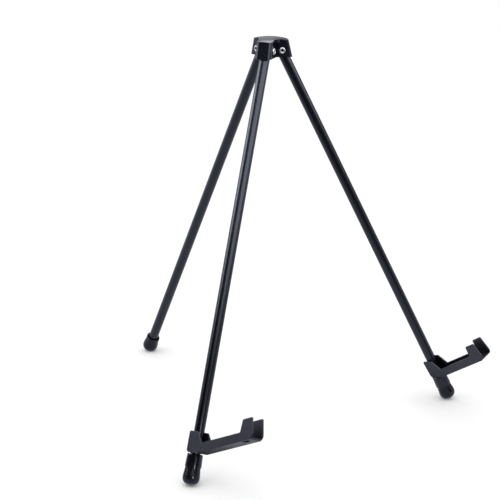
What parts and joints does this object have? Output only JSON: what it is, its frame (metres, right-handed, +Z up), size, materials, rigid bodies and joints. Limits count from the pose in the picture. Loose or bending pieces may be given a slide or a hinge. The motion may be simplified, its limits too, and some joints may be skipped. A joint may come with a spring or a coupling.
{
  "type": "tabletop easel",
  "caption": "Folding tripod easel for a tabletop: rolled steel legs hinged in a forked plastic head, rubber feet, and folding channel arms with upright prongs that hold a picture or tablet.",
  "frame": {"origin": "on the tabletop, in the middle of the footprint: midway between the tip of the left arm and the back of the rear foot, and midway between the front feet", "axes": "+Z up; the picture faces -Y, so the rear leg is on the +Y side; left and right are as seen from the front, so the left leg is on the -X side"},
  "size_m": [0.3128, 0.3408, 0.343],
  "materials": {
    "hub_plastic": "satin charcoal-black moulded plastic",
    "arm_plastic": "satin charcoal-black moulded plastic",
    "tube_enamel": "semi-gloss black enamel on rolled steel sheet",
    "collar_plastic": "glossy black moulded plastic",
    "foot_rubber": "smooth black rubber with a low sheen",
    "rivet_steel": "bright nickel-plated steel"
  },
  "bodies": {
    "head": {"head_hub": "hub_plastic", "hinge_pin_left": "rivet_steel", "hinge_pin_right": "rivet_steel", "hinge_pin_rear": "rivet_steel"},
    "leg_left": {"leg_tube_left": "tube_enamel", "stop_collar_left": "collar_plastic", "rubber_foot_left": "foot_rubber"},
    "leg_right": {"leg_tube_right": "tube_enamel", "stop_collar_right": "collar_plastic", "rubber_foot_right": "foot_rubber"},
    "leg_rear": {"leg_tube_rear": "tube_enamel", "rubber_foot_rear": "foot_rubber"},
    "arm_left": {"picture_arm_left": "arm_plastic"},
    "arm_right": {"picture_arm_right": "arm_plastic"}
  },
  "joints": [
    {"name": "leg_left_fold", "type": "hinge", "parent": "head", "child": "leg_left", "pos_m": [-0.00814, -0.02277, 0.3324], "axis": [0.5, -0.866, 0], "range_deg": [0, 26.55]},
    {"name": "leg_right_fold", "type": "hinge", "parent": "head", "child": "leg_right", "pos_m": [0.00814, -0.02277, 0.3324], "axis": [0.5, 0.866, 0], "range_deg": [0, 26.55]},
    {"name": "leg_rear_fold", "type": "hinge", "parent": "head", "child": "leg_rear", "pos_m": [0, -0.00867, 0.3324], "axis": [-1, 0, 0], "range_deg": [0, 27.8]},
    {"name": "arm_left_fold", "type": "hinge", "parent": "leg_left", "child": "arm_left", "pos_m": [-0.13804, -0.09777, 0.03222], "axis": [-0.922, 0.094, 0.3755], "range_deg": [0, 74.8]},
    {"name": "arm_right_fold", "type": "hinge", "parent": "leg_right", "child": "arm_right", "pos_m": [0.13804, -0.09777, 0.03222], "axis": [-0.922, -0.094, -0.3755], "range_deg": [-5.2, 69.6]}
  ]
}
